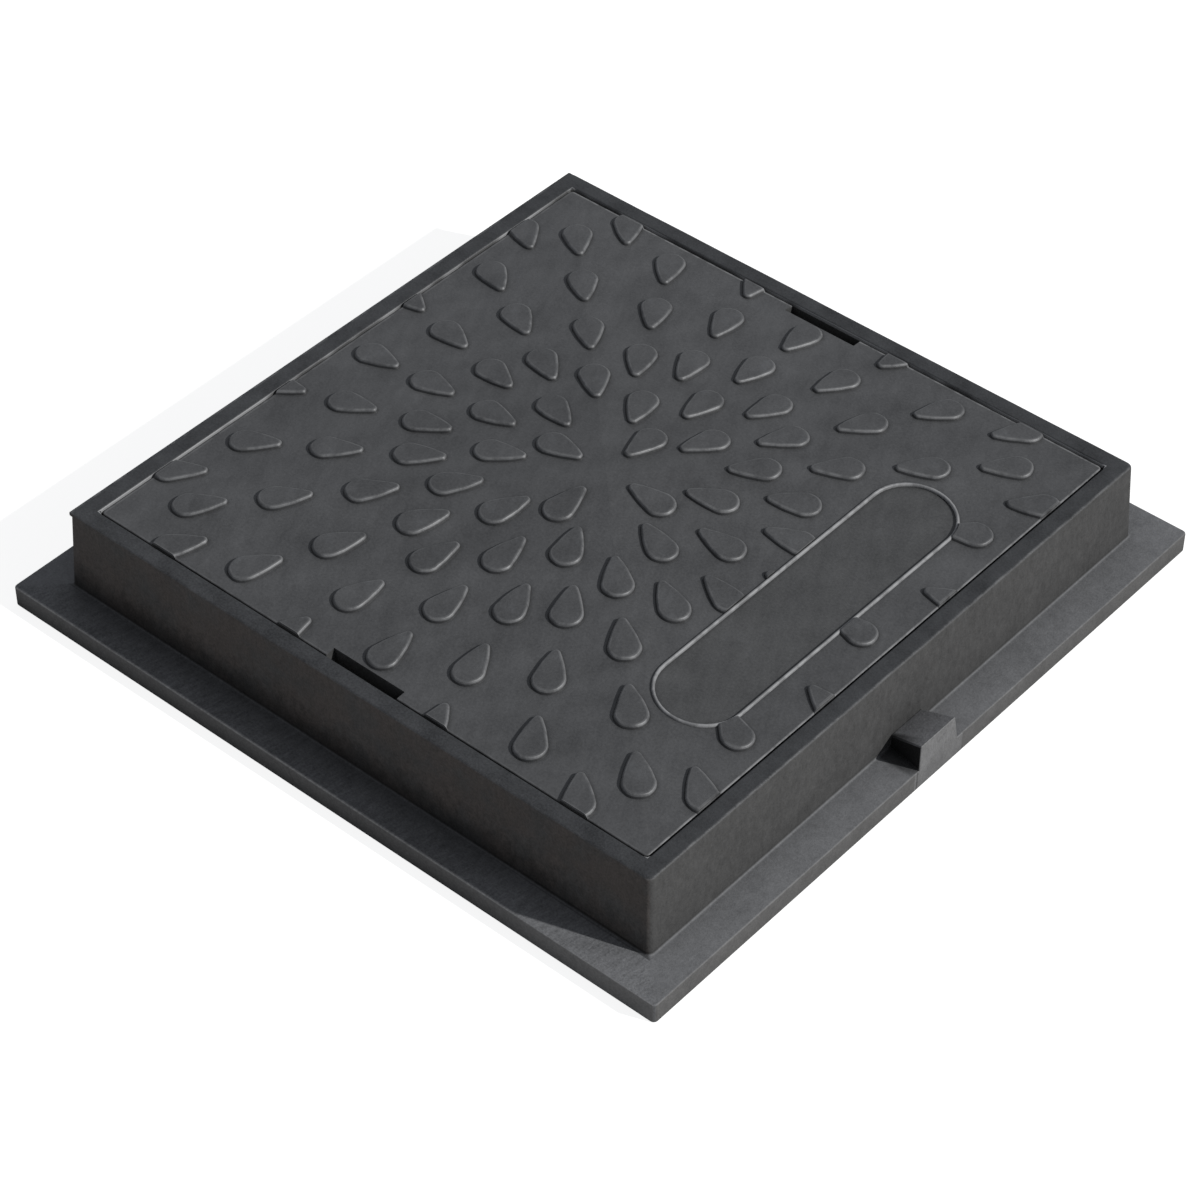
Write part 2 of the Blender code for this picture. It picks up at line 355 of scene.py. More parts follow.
class NodeTree:
    """A node tree that is built by one method for every kind of node."""

    def __init__(self, tree: bpy.types.NodeTree) -> None:
        """Keep the tree."""
        self.tree = tree

    def node(self, kind: str, settings: Mapping[str, object] | None = None,
             sockets: Mapping[str | int, object] | None = None) -> Node:
        """Add a node.

        Args:
            kind: Its type.
            settings: Its properties, set first.
            sockets: Values, or wires to link, by the input's name or number.

        Returns:
            The node.
        """
        made = self.tree.nodes.new(kind)
        for name, value in (settings or {}).items():
            setattr(made, name, value)
        for key, value in (sockets or {}).items():
            many = value if isinstance(value, list) else [value]
            for each in many:
                if isinstance(each, Wire):
                    self.tree.links.new(each.socket, made.inputs[key])
                else:
                    made.inputs[key].default_value = each
        return made

    def wire(self, kind: str, settings: Mapping[str, object] | None = None,
             sockets: Mapping[str | int, object] | None = None,
             output: str | int = 0) -> Wire:
        """Add a node and return one of its outputs; the arguments are those of node."""
        return Wire(self, self.node(kind, settings, sockets).outputs[output])

    def math(self, operation: str, *values: "float | Wire") -> Wire:
        """Add a Math node on up to three values."""
        return self.wire("ShaderNodeMath", {"operation": operation}, dict(enumerate(values)))

    def vector_math(self, operation: str, first: Wire, second: object,
                    key: str | int = 1) -> Wire:
        """Add a Vector Math node on a vector and a second value, which goes to input key."""
        return self.wire("ShaderNodeVectorMath", {"operation": operation},
                         {0: first, key: second})


@dataclass(frozen=True)
class Grain:
    """A noise: the size of its grains, their detail, and their stretch along X, Y and Z.

    roughness is the weight of the finer noise, and turn is about Z, in degrees.
    """

    size: float
    detail: float = 3.0
    stretch: Colour = (1.0, 1.0, 1.0)
    roughness: float = 0.55
    turn: float = 0.0


class Shader(NodeTree):
    """A material's nodes, with the patterns that the finishes share."""

    def __init__(self, name: str) -> None:
        """Start an empty material.

        Args:
            name: The material's name.
        """
        self.material = bpy.data.materials.new(name)
        self.material.use_nodes = True
        super().__init__(self.material.node_tree)
        self.tree.nodes.clear()
        self.place = self.wire("ShaderNodeTexCoord", output="Object")
        split = self.node("ShaderNodeSeparateXYZ", sockets={0: self.place})
        self.x, self.y, self.z = (Wire(self, output) for output in split.outputs)
        self.ring = abs(self.x).most(abs(self.y))

    def rise(self, value: Wire, low: float, high: float) -> Wire:
        """0 below low, 1 above high, and a smooth step between them."""
        return self.wire("ShaderNodeMapRange", {"interpolation_type": "SMOOTHSTEP"},
                         {"Value": value, "From Min": low, "From Max": high})

    def band(self, value: Wire, low: float, high: float, soft: float) -> Wire:
        """1 between low and high, falling to 0 over soft on either side."""
        return self.rise(value, low - soft, low) * (1 - self.rise(value, high, high + soft))

    def quarter(self, along: Wire, across: Wire) -> Wire:
        """1 in the quarter of the square cover towards the low end of the first axis."""
        return self.rise(0.0 - along - abs(across), -0.002, 0.002)

    def grain(self, kind: Grain) -> Wire:
        """Noise between 0 and 1.

        Args:
            kind: Its size and shape.

        Returns:
            The noise.
        """
        placed = self.wire("ShaderNodeMapping", {"vector_type": "TEXTURE"}, {
            "Vector": self.place,
            "Rotation": Euler((0.0, 0.0, math.radians(kind.turn))),
            "Scale": tuple(kind.size * part for part in kind.stretch)})
        return self.wire("ShaderNodeTexNoise", sockets={
            "Vector": placed, "Scale": 1.0, "Detail": kind.detail,
            "Roughness": kind.roughness})

    def blend(self, first: "Colour | Wire", second: "Colour | Wire", share: Wire) -> Wire:
        """Mix two colours."""
        first, second = (c if isinstance(c, Wire) else (*c, 1.0) for c in (first, second))
        return self.wire("ShaderNodeMix", {"data_type": "RGBA"},
                         {"Factor": share, 6: first, 7: second}, 2)

    def scaled(self, colour: Wire, by: Wire) -> Wire:
        """Brighten or darken a colour."""
        return self.vector_math("SCALE", colour, by, "Scale")

    def crease(self, reach: float) -> Wire:
        """1 in the open, falling towards 0 in creases narrower than reach."""
        return self.wire("ShaderNodeAmbientOcclusion", {"samples": 8},
                         {"Distance": reach}, "AO")

    def bump(self, height: Wire, depth: float, below: Wire | None = None) -> Wire:
        """Bump a surface.

        Args:
            height: Its height, between 0 and 1.
            depth: The metres that a height of 1 stands for.
            below: The normal of a coarser or finer bump to add to.

        Returns:
            The bumped normal.
        """
        sockets: dict[str | int, object] = {"Height": height, "Strength": 1.0,
                                            "Distance": depth}
        if below is not None:
            sockets["Normal"] = below
        return self.wire("ShaderNodeBump", sockets=sockets)

    def close(self, colour: Wire, roughness: Wire, normal: Wire,
              specular: float) -> Material:
        """Join everything in a Principled shader.

        Args:
            colour: Base colour.
            roughness: Roughness.
            normal: Bumped normal.
            specular: Strength of its plain reflection.

        Returns:
            The material.
        """
        surface = self.wire("ShaderNodeBsdfPrincipled", sockets={
            "Base Color": colour, "Roughness": roughness, "Normal": normal,
            "Specular IOR Level": specular})
        self.node("ShaderNodeOutputMaterial", sockets={"Surface": surface})
        return self.material


class GeometryTree(NodeTree):
    """A geometry node tree with named inputs."""

    kinds = {"Geometry": "NodeSocketGeometry", "Object": "NodeSocketObject",
             "Material": "NodeSocketMaterial", "Length": "NodeSocketFloat",
             "Count": "NodeSocketInt"}
    shared = {"Face Peak": "Length", "Face Slope": "Length", "Finish": "Material"}

    def __init__(self, name: str, inputs: Mapping[str, str]) -> None:
        """Start a tree whose pieces lie on the lid's face.

        Args:
            name: The tree's name.
            inputs: Kind of each input of its own, a key of kinds.
        """
        super().__init__(bpy.data.node_groups.new(name, "GeometryNodeTree"))
        self.keys: dict[str, str] = {}
        for title, kind in {"Geometry": "Geometry", **inputs, **self.shared}.items():
            socket = self.tree.interface.new_socket(title, in_out="INPUT",
                                                    socket_type=self.kinds[kind])
            self.keys[title] = socket.identifier
        self.tree.interface.new_socket("Geometry", in_out="OUTPUT",
                                       socket_type=self.kinds["Geometry"])
        self.entry = self.node("NodeGroupInput")
        position = self.wire("GeometryNodeInputPosition")
        split = self.node("ShaderNodeSeparateXYZ", sockets={0: position})
        self.position = position
        self.x, self.y, self.z = (Wire(self, output) for output in split.outputs)

    def given(self, title: str) -> Wire:
        """The wire of a named input."""
        return Wire(self, self.entry.outputs[title])

    def vector(self, x: object = 0.0, y: object = 0.0, z: object = 0.0) -> Wire:
        """A vector from three values."""
        return self.wire("ShaderNodeCombineXYZ", sockets={0: x, 1: y, 2: z})

    def solid(self, title: str) -> Wire:
        """The mesh of an object input."""
        return self.wire("GeometryNodeObjectInfo", sockets={0: self.given(title)},
                         output="Geometry")

    def moved(self, geometry: Wire, offset: Wire) -> Wire:
        """Geometry with its points moved by an offset."""
        return self.wire("GeometryNodeSetPosition",
                         sockets={"Geometry": geometry, "Offset": offset})

    def face_height(self, outwards: float | Wire = 0.0) -> Wire:
        """Height of the lid's four-sided face, so far outwards from each point."""
        ring = abs(self.x).most(abs(self.y)) + outwards
        return self.given("Face Peak") - self.given("Face Slope") * ring

    def draped(self, geometry: Wire) -> Wire:
        """Geometry raised onto the lid's face."""
        return self.moved(geometry, self.vector(z=self.face_height()))

    def plain(self, geometry: Wire) -> Wire:
        """Geometry with its copies made real."""
        return self.wire("GeometryNodeRealizeInstances", sockets={"Geometry": geometry})

    def repeated(self, points: Wire, title: str, key: str, value: Wire) -> Wire:
        """Copies of an object input as one mesh.

        Args:
            points: Where they stand.
            title: The input.
            key: What differs between them, Rotation or Scale.
            value: Its value over each point.

        Returns:
            The copies.
        """
        return self.plain(self.wire("GeometryNodeInstanceOnPoints", sockets={
            "Points": points, "Instance": self.solid(title), key: value}))

    def combined(self, way: Cut, solids: Mapping[str, object]) -> Wire:
        """Cut solids, given by the Boolean node's inputs."""
        return self.wire("GeometryNodeMeshBoolean",
                         {"operation": way.value, "solver": "EXACT"}, solids)

    def close(self, geometry: Wire) -> None:
        """End the tree with a plain mesh and its material.

        Args:
            geometry: What the tree has made.
        """
        dressed = self.wire("GeometryNodeSetMaterial", sockets={
            "Geometry": self.plain(geometry), "Material": self.given("Finish")})
        self.node("NodeGroupOutput", sockets={"Geometry": dressed})

    def apply(self, obj: Object, sizes: "CoverSizes", finish: Material,
              values: Mapping[str, object]) -> None:
        """Run the tree on an object and keep the result as its plain mesh.

        Args:
            obj: The object whose mesh goes in.
            sizes: Sizes of the lid's face.
            finish: The piece's material.
            values: Value of each input of the tree's own.
        """
        step = obj.modifiers.new(self.tree.name, "NODES")
        step.node_group = self.tree
        shared = {"Face Peak": sizes.face_peak_z, "Face Slope": sizes.face_slope,
                  "Finish": finish}
        for title, value in {**values, **shared}.items():
            step[self.keys[title]] = value
        settle(obj)


# --- sizes
@dataclass(frozen=True)
class CoverSizes:
    """Sizes that frame and lid share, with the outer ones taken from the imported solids."""

    flange_half: float
    rim_z: float
    lid_half: float
    lid_foot_z: float
    flange_thickness: float = 0.018
    flange_width: float = 0.035
    rim_width: float = 0.015
    lid_edge_drop: float = 0.002
    lid_crown: float = 0.0193

    @classmethod
    def measured(cls) -> "CoverSizes":
        """Read the outer sizes from the frame's and the lid's boxes.

        Returns:
            The sizes.
        """
        _, frame_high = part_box("frame")
        lid_low, lid_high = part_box("lid")
        return cls(frame_high.x, frame_high.z, lid_high.x, lid_low.z)

    @property
    def upstand_half(self) -> float:
        """Half the side of the upstand at the rim."""
        return self.flange_half - self.flange_width

    @property
    def pocket_half(self) -> float:
        """Half the side of the lid pocket at the rim."""
        return self.upstand_half - self.rim_width

    @property
    def face_edge_z(self) -> float:
        """Height of the edge of the lid's face."""
        return self.rim_z - self.lid_edge_drop

    @property
    def face_peak_z(self) -> float:
        """Height of the middle of the lid's face."""
        return self.face_edge_z + self.lid_crown

    @property
    def face_slope(self) -> float:
        """Fall of the lid's face towards each side."""
        return self.lid_crown / self.lid_half

    def face_z(self, x: float, y: float) -> float:
        """Height of the lid's four-sided face over a point."""
        return self.face_peak_z - self.face_slope * max(abs(x), abs(y))


# --- finishes
@dataclass(frozen=True)
class FrameMasks:
    """Where the frame's surfaces lie: each mask is 1 on its own and 0 elsewhere."""

    rim: Wire
    low: Wire       # the flange, its top and its edge
    wall: Wire      # all that is neither rim nor flange
    outer: Wire     # the flange's edge and the lug's outer face
    lug: Wire
    front: Wire     # the quarter towards -Y


@dataclass(frozen=True)
class FrameFinish:
    """Moulded dark composite of the frame, rougher and paler where it meets the ground."""

    sizes: CoverSizes
    wall: Colour = (0.0570, 0.0562, 0.0550)
    front_warm: Colour = (0.0720, 0.0610, 0.0550)
    rim: Colour = (0.0355, 0.0365, 0.0380)
    flange: Colour = (0.127, 0.128, 0.131)
    flange_edge: Colour = (0.106, 0.104, 0.102)
    lug_top: Colour = (0.165, 0.165, 0.169)
    lug_face: Colour = (0.150, 0.149, 0.149)
    # pale for wear, and for the painted highlight along the edges
    pale_for_wear_and_light: Colour = (0.190, 0.190, 0.190)
    # pale of the pocket's lip: painted highlight and wear
    pocket_lip_highlight_and_wear: Colour = (0.300, 0.300, 0.300)
    clouds: Grain = Grain(0.030, 4.0)
    mottle: Grain = Grain(0.0065, 6.0, (1.0, 1.0, 1.3), 0.70)
    strokes: Grain = Grain(0.0026, 4.0, (1.0, 1.0, 3.0), 0.65)
    speck: Grain = Grain(0.0018, 3.0, roughness=0.7)
    sweep: Grain = Grain(0.0030, 4.0, (1.0, 5.0, 1.0), 0.65, -12.0)
    front_warm_patches: Grain = Grain(0.040, 4.0, roughness=0.65)
    worn_patches: Grain = Grain(0.012)
    lip_patches: Grain = Grain(0.060, 2.0)
    # reach of the painted shade in the frame's creases
    painted_shade_reach: float = 0.030
    lug_half: float = 0.028
    lug_near_y: float = -0.016
    roof_slope: float = 0.4464      # of the lug's top, outwards from the wall
    roof_foot_z: float = -0.0999    # where that slope would reach the middle
    seam_y: tuple[float, float] = (-0.0262, -0.0250)
    fine_depth: float = 0.00022
    coarse_depth: float = 0.00050

    @property
    def wall_foot(self) -> float:
        """How far out the upstand's foot lies."""
        return self.sizes.upstand_half + 0.0030

    def masks(self, shader: Shader) -> FrameMasks:
        """Tell the frame's surfaces apart.

        Args:
            shader: The material's nodes.

        Returns:
            A mask for each surface.
        """
        sizes, flange_z = self.sizes, self.sizes.flange_thickness
        rim = shader.rise(shader.z, sizes.rim_z - 0.0016, sizes.rim_z - 0.0004)
        low = 1 - shader.rise(shader.z, flange_z + 0.0004, flange_z + 0.0022)
        lug = (shader.rise(shader.x, self.wall_foot, self.wall_foot + 0.0015)
               * (1 - shader.rise(abs(shader.y), self.lug_half, self.lug_half + 0.001)))
        outer = shader.rise(shader.ring, sizes.flange_half - 0.0009,
                            sizes.flange_half - 0.0002)
        return FrameMasks(rim, low, (1 - low) * (1 - rim), outer, lug,
                          shader.quarter(shader.y, shader.x))

    def paint(self, shader: Shader, on: FrameMasks) -> Wire:
        """Give each surface its own colour, with warm, paler patches on the front wall.

        Args:
            shader: The material's nodes.
            on: The masks.

        Returns:
            The colour.
        """
        # warm, paler patches on the front wall
        front_warm_share = on.front * shader.rise(shader.grain(self.front_warm_patches), 0.30, 0.62)
        colour = shader.blend(self.wall, self.front_warm, front_warm_share * 0.85)
        for coat, where in ((self.flange, on.low), (self.lug_top, (1 - on.low) * on.lug),
                            (self.flange_edge, on.outer), (self.lug_face, on.outer * on.lug),
                            (self.rim, on.rim)):
            colour = shader.blend(colour, coat, where)
        return colour

    def shade_and_seam(self, shader: Shader, on: FrameMasks) -> Wire:
        """Share of its colour that each place keeps under painted shade: ambient occlusion in
        creases, deeper painted shade in the front's creases, the lug's painted shadow and shaded
        side, painted shade at the wall's foot, and a dark seam line.

        Args:
            shader: The material's nodes.
            on: The masks.

        Returns:
            The share.
        """
        flange_z, foot_x = self.sizes.flange_thickness, self.wall_foot
        # painted shade: ambient occlusion darkens every crease of the frame
        occlusion = shader.crease(self.painted_shade_reach)
        shaded = on.front * (1 - shader.rise(shader.x, 0.10, 0.25))
        # painted shadow: the lug's cast shadow on the flange and the wall, and its shaded -Y
        # side, painted near black
        lug_shadow_zone = (shader.rise(shader.x, foot_x, foot_x + 0.0015) * (1 - on.outer)
                      * shader.band(shader.y, -self.lug_half - 0.002, self.lug_near_y, 0.004))
        under_roof = 1 - shader.rise(shader.z - shader.x * self.roof_slope,
                                     self.roof_foot_z - 0.0016, self.roof_foot_z - 0.0008)
        lug_shaded_side = (lug_shadow_zone * under_roof
                    * shader.rise(shader.z, flange_z + 0.0006, flange_z + 0.0018))
        # painted shade along the crease at the wall's foot, darkest on the front, which the key
        # light misses
        foot = (shader.band(shader.ring, foot_x - 0.0012, foot_x + 0.0020, 0.0010)
                * shader.band(shader.z, flange_z - 0.001, flange_z + 0.0028, 0.0012))
        deep = (1 - occlusion * occlusion) * (lug_shadow_zone * 0.97).most(shaded * 0.66)
        deep = deep.most(lug_shaded_side * 0.94).most(foot * (0.12 + on.front * 0.48))
        seam = on.outer * shader.band(shader.y, *self.seam_y, 0.0008) * 0.45
        return (0.55 + 0.45 * occlusion) * (1 - deep) * (1 - seam)

    def wear_and_highlight(self, shader: Shader, on: FrameMasks, colour: Wire) -> Wire:
        """Pale the edges: wear in patches on the rim's and the flange's edges, weaker on the
        shaded front and so partly a painted highlight, and a painted highlight with patches of
        wear along the pocket's lip.

        Args:
            shader: The material's nodes.
            on: The masks.
            colour: The colour so far.

        Returns:
            The colour.
        """
        sizes, flange_z = self.sizes, self.sizes.flange_thickness
        # wear and painted highlight: pale patches on the edges, weaker on the front, which is in
        # shade
        arris = (on.rim * shader.band(shader.ring, sizes.upstand_half - 0.0012,
                                      sizes.upstand_half + 0.001, 0.0008)
                 + shader.band(shader.z, flange_z - 0.0008, flange_z + 0.001, 0.0004)
                 * shader.band(shader.ring, sizes.flange_half - 0.0010,
                               sizes.flange_half + 0.001, 0.0004))
        patches = shader.rise(shader.grain(self.worn_patches), 0.42, 0.66)
        colour = shader.blend(colour, self.pale_for_wear_and_light,
                              arris.least(1.0) * patches * (1 - on.front * 0.6) * 0.24)
        # painted highlight with wear: the pocket's lip, whose -X side catches the key light, is
        # painted pale in patches all round
        lip = (shader.rise(shader.z, sizes.rim_z - 0.0040, sizes.rim_z - 0.0032)
               * shader.band(shader.ring, sizes.pocket_half - 0.0006,
                             sizes.pocket_half + 0.0001, 0.0002))
        patches = shader.rise(shader.grain(self.lip_patches), 0.40, 0.56)
        return shader.blend(colour, self.pocket_lip_highlight_and_wear, lip * (0.10 + patches * 0.62))

    def build(self) -> Material:
        """Make the material.

        Returns:
            The material.
        """
        shader = Shader("frame_composite")
        on = self.masks(shader)
        clouds, mottle, strokes, speck, sweep = (shader.grain(kind) for kind in (
            self.clouds, self.mottle, self.strokes, self.speck, self.sweep))
        wall_height_share = shader.rise(shader.z + mottle.sway(0.040) + clouds.sway(0.020),
                           self.sizes.flange_thickness, self.sizes.rim_z * 0.62)
        # painted shadow on the front flange's top, deeper towards its edge, fading out towards
        # the +X corner, which the key light reaches
        front_flange_shade = ((shader.rise(shader.ring, self.sizes.upstand_half, self.sizes.flange_half)
                 * 0.19 + 0.02) * (1 - shader.rise(shader.x, 0.12, 0.19)))
        tone = (1.0 + clouds.sway(0.45 + on.rim * 0.90)
                + on.wall * (mottle.sway(0.90) + strokes.sway(0.45))
                + mottle.sway(on.low * 0.70 + on.rim * 0.80)
                + speck.sway(0.75 + on.front * 0.55 + on.rim * 0.45)
                + on.low * on.front * sweep.sway(1.10)
                # painted light: the front edge face of the flange, which the key light misses,
                # is lightened, most towards the +X corner
                + on.outer * on.front * (0.55 + shader.rise(shader.x, 0.10, 0.30) * 0.45)
                # painted shadow on the front flange's top
                - on.low * (1 - on.outer) * on.front * front_flange_shade
                # the front wall is darker towards its foot and paler towards the rim, along a
                # ragged line
                + on.front * on.wall * (wall_height_share - 0.60) * 0.42
                - (on.low * 0.04 + on.wall * 0.03) * shader.rise(shader.y, -0.15, 0.30))
        colour = shader.scaled(self.paint(shader, on), tone * self.shade_and_seam(shader, on))
        roughness = 0.62 + clouds.sway(0.18) - on.rim * 0.17 + mottle.sway(0.12)
        height = on.wall * (mottle * 0.6 + strokes * 0.4) + on.low * mottle * 0.6
        normal = shader.bump(height, self.coarse_depth, shader.bump(speck, self.fine_depth))
        return shader.close(self.wear_and_highlight(shader, on, colour), roughness, normal, 0.30)


@dataclass(frozen=True)
class LidFinish:
    """Moulded dark composite of the lid, scuffed on the studs, with painted shade in its creases
    and wear and painted highlight along its edges.

    The flag is for the bead, which is painted pale all over: wear, and a stand-in for the
    highlights on its lit flanks.
    """

    sizes: CoverSizes
    stud_height: float
    wear_and_highlight: bool = False
    face: Colour = (0.0580, 0.0583, 0.0591)
    scuffed: Colour = (0.082, 0.084, 0.087)
    # pale for wear, and for the painted highlight along the edges and on the bead
    pale_for_wear_and_light: Colour = (0.230, 0.230, 0.230)
    under: Colour = (0.050, 0.050, 0.049)
    clouds: Grain = Grain(0.045)
    smears: Grain = Grain(0.010, 4.0, (1.0, 3.5, 1.0), turn=25.0)
    drag: Grain = Grain(0.026, 4.0, (1.0, 4.0, 1.0), turn=-38.0)
    speck: Grain = Grain(0.0020, 4.0, roughness=0.7)
    scuffs: Grain = Grain(0.014, 4.0, (1.0, 1.8, 1.0), turn=60.0)
    worn_patches: Grain = Grain(0.010)
    # reach of the painted shade round the studs
    painted_shade_reach: float = 0.0035
    fine_depth: float = 0.00016
    coarse_depth: float = 0.00030

    def worn_share(self, shader: Shader, above: Wire) -> Wire:
        """How far each place is made pale by wear, apart from the lid's own rim; on the bead
        this pale is also painted highlight.

        Args:
            shader: The material's nodes.
            above: Height above the lid's face.

        Returns:
            The share.
        """
        patches = shader.rise(shader.grain(self.worn_patches), 0.36, 0.60)
        # the bead: painted pale all over, for wear and as painted highlight on its lit flanks
        if self.wear_and_highlight:
            return 0.52 + patches * 0.45
        top = self.stud_height
        flank = shader.band(above, top * 0.60, top - 0.0003, 0.0003)
        arris = shader.band(above, top - 0.0004, top + 0.00004, 0.0002)
        return flank * (0.06 + patches * 0.24) + arris * (0.04 + patches * 0.15)

    def edge_share(self, shader: Shader, above: Wire) -> Wire:
        """How far the lid's own rim is painted pale, least at the front and the left: wear in
        patches and a painted highlight on the sides towards the key light, and painted light on
        the shaded cut faces of the front studs.

        Args:
            shader: The material's nodes.
            above: Height above the lid's face.

        Returns:
            The share.
        """
        half = self.sizes.lid_half
        front = shader.quarter(shader.y, shader.x)
        left = shader.quarter(shader.x, shader.y)
        patches = shader.rise(shader.grain(self.worn_patches), 0.36, 0.60)
        # wear and painted highlight: the rim's pale, weaker at the front and the left, away from
        # the key light
        edge = (shader.band(shader.ring, half - 0.0013, half + 0.001, 0.0005)
                * shader.rise(above, -0.0018, -0.0004) * (1 - front * 0.65)
                * (1 - left * 0.60) * (1 - 0.6 * shader.rise(above, 0.0008, 0.0014)))
        # painted light on the cut faces of the studs at the front, which are in shade
        cut_face_light = (front * shader.rise(shader.ring, half - 0.0008, half - 0.0004)
                    * shader.rise(above, 0.0004, 0.0012))
        share = edge * (0.25 + patches * 0.75) * 0.55
        return 1 - (1 - share) * (1 - cut_face_light * 0.32)

    def build(self) -> Material:
        """Make the material.

        Returns:
            The material.
        """
        shader = Shader("rubbed_composite" if self.wear_and_highlight else "lid_composite")
        sizes, top = self.sizes, self.stud_height
        clouds, smears, drag, speck = (shader.grain(kind) for kind in (
            self.clouds, self.smears, self.drag, self.speck))
        above = shader.z - (sizes.face_peak_z - sizes.face_slope * shader.ring)
        on_face = shader.rise(above, -0.0012, -0.0003)
        on_stud = shader.rise(above, top - 0.0009, top - 0.0002)
        colour = shader.blend(self.under, self.face, on_face)
        scuffs = shader.rise(shader.grain(self.scuffs), 0.52, 0.74)
        colour = shader.blend(colour, self.scuffed, scuffs * (0.10 + on_stud * 0.25))
        near_edge = on_face * shader.rise(shader.ring, sizes.lid_half * 0.45, sizes.lid_half)
        far_corner = on_face * shader.rise(shader.y - shader.x, 0.10, 0.50)
        tone = (1.0 + clouds.sway(0.60) + smears.sway(0.55) + drag.sway(0.50)
                + speck.sway(1.00) + near_edge * 0.03 + far_corner * 0.07)
        # painted shade: ambient occlusion darkens the creases round the studs, and the lower
        # half of each stud's flank is painted darker
        occlusion = shader.crease(self.painted_shade_reach)
        foot = shader.band(above, 0.0005, top * 0.45, 0.0003)
        colour = shader.scaled(colour, tone * (0.45 + 0.55 * occlusion * occlusion)
                               * (1 - foot * 0.50))
        for share in (self.edge_share(shader, above), self.worn_share(shader, above)):
            colour = shader.blend(colour, self.pale_for_wear_and_light, share)
        roughness = 0.47 + clouds.sway(0.10) + speck.sway(0.16)
        normal = shader.bump(smears, self.coarse_depth, shader.bump(speck, self.fine_depth))
        return shader.close(colour, roughness, normal, 0.45)


# --- the frame
@dataclass
class FrameShell:
    """Flange, upstand, rim, lid pocket, seat and lug, moulded in one piece."""

    sizes: CoverSizes
    upstand_lean: float = 0.0035
    pocket_depth: float = 0.050
    pocket_draft: float = 0.002
    seat_width: float = 0.020
    shaft_draft: float = 0.002
    arc_steps: int = 6
    side_steps: int = 64
    waver: float = 0.00022
    waver_length: float = 0.045
    edge_ease: float = 0.0011       # of the lug and of the lip

    def section(self) -> list[Turn]:
        """The section that runs round the frame, from its outer foot up and in.

        Returns:
            Its corners.
        """
        sizes = self.sizes
        seat_z = sizes.rim_z - self.pocket_depth
        pocket_foot = sizes.pocket_half - self.pocket_draft
        shaft = pocket_foot - self.seat_width
        return [
            Turn(sizes.flange_half, 0.0, 0.0010, 0.0035),
            Turn(sizes.flange_half, sizes.flange_thickness, 0.0012, 0.0035),
            Turn(sizes.upstand_half + self.upstand_lean, sizes.flange_thickness, 0.0022, 0.005),
            Turn(sizes.upstand_half, sizes.rim_z, 0.0024, 0.005),
            Turn(sizes.pocket_half, sizes.rim_z, 0.0015, 0.005),
            Turn(pocket_foot, seat_z, 0.0015, 0.005),
            Turn(shaft, seat_z, 0.0015, 0.012),
            Turn(shaft + self.shaft_draft, 0.0, 0.0010, 0.012),
        ]

    def wavering(self, point: Vector) -> Vector:
        """Move a point of the upstand or pocket a hair in or out, as moulded edges are.

        Args:
            point: The point.

        Returns:
            Where it goes.
        """
        if point.z < self.sizes.flange_thickness + 0.004:
            return point
        drift = noise.noise(Vector((point.x, point.y, 0.0)) / self.waver_length)
        outwards = Vector((point.x, point.y, 0.0)).normalized()
        return point + outwards * drift * self.waver

    def add_lug(self, bm: BMesh) -> None:
        """Add the lug that fills the corner between the +X wall and the flange's edge.

        Args:
            bm: Mesh that takes it.
        """
        sizes = self.sizes
        outer_x = sizes.flange_half + 0.00015
        wall_x = sizes.upstand_half - 0.004
        outer_y, outer_foot_y = (-0.024, 0.017), (-0.024, 0.026)
        wall_y, wall_foot_y = (-0.015, 0.020), (-0.020, 0.024)
        outer_top, wall_top = 0.043, 0.0255
        outer_foot, wall_foot = 0.0004, sizes.flange_thickness - 0.004

        def place(signs: Vector) -> Vector:
            """A corner's place from its signs."""
            end = 1 if signs.y > 0 else 0
            if signs.x > 0:
                y = outer_y[end] if signs.z > 0 else outer_foot_y[end]
                return Vector((outer_x, y, outer_top if signs.z > 0 else outer_foot))
            y = wall_y[end] if signs.z > 0 else wall_foot_y[end]
            return Vector((wall_x, y, wall_top if signs.z > 0 else wall_foot))

        add_block(bm, place, self.edge_ease)

    def add_lip(self, bm: BMesh) -> None:
        """Add the thin moulded lip under the rim's -X edge.

        Args:
            bm: Mesh that takes it.
        """
        sizes = self.sizes
        outer_x, depth = sizes.upstand_half + 0.0013, 0.0040

        def place(signs: Vector) -> Vector:
            """A corner's place from its signs."""
            return Vector((-outer_x if signs.x < 0 else -sizes.upstand_half + 0.004,
                           signs.y * (sizes.upstand_half - 0.0004),
                           sizes.rim_z - 0.0003 if signs.z > 0 else sizes.rim_z - depth))

        add_block(bm, place, self.edge_ease)

    def build(self, finish: Material) -> Object:
        """Make the whole shell and hang it on the frame's body.

        Args:
            finish: Its material.

        Returns:
            The piece.
        """
        bm = bmesh.new()
        loops = []
        for turn in eased(self.section()):
            loop = square_loop(turn.half, turn.plan, self.arc_steps, self.side_steps)
            loops.append([self.wavering(point) for point in lifted(loop, turn.z)])
        loft(bm, loops, closed=True)
        bmesh.ops.recalc_face_normals(bm, faces=bm.faces)
        self.add_lug(bm)
        self.add_lip(bm)
        shell = to_object(bm, "frame_shell")
        shell.data.materials.append(finish)
        finish_shading(shell)
        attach(shell, "frame_body")
        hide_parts("frame")
        return shell


